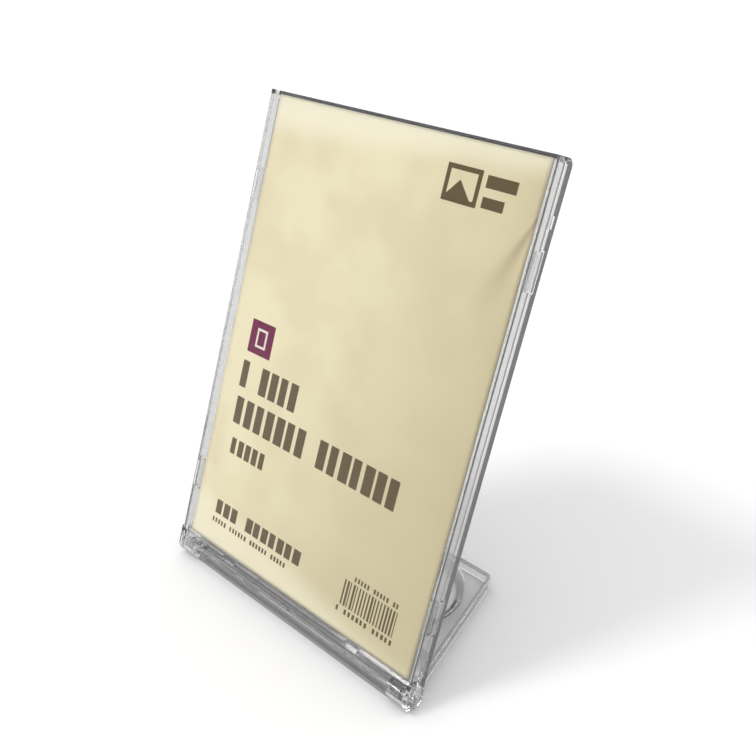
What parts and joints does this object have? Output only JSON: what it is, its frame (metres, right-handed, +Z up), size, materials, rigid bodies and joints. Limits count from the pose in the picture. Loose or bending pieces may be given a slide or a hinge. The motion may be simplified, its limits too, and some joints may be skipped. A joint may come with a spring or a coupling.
{
  "type": "photo display stand",
  "caption": "Clear leaning desk display for one small print: a hinged front cover and back shell on a low tapering foot.",
  "frame": {"origin": "middle of the stand's footprint, on the table it stands on", "axes": "+X runs to the viewer's right along the hinge line, +Y runs away from the viewer from the display face to the foot, +Z is up"},
  "size_m": [0.1082, 0.0626, 0.1549],
  "materials": {
    "clear_cover": "clear gloss",
    "clear_shell": "clear gloss",
    "clear_foot": "clear gloss",
    "card_paper": "satin print"
  },
  "bodies": {
    "stand": {"back_shell": "clear_shell", "foot": "clear_foot"},
    "cover": {"front_cover": "clear_cover"},
    "print": {"insert_card": "card_paper"}
  },
  "joints": [
    {"name": "cover_hinge", "type": "hinge", "parent": "stand", "child": "cover", "pos_m": [0, -0.02734, 0.00415], "axis": [1, 0, 0], "range_deg": [0, 98]},
    {"name": "card_slide", "type": "slide", "parent": "cover", "child": "print", "axis": [0, 0.342, 0.9397], "range_m": [0, 0.155]}
  ]
}
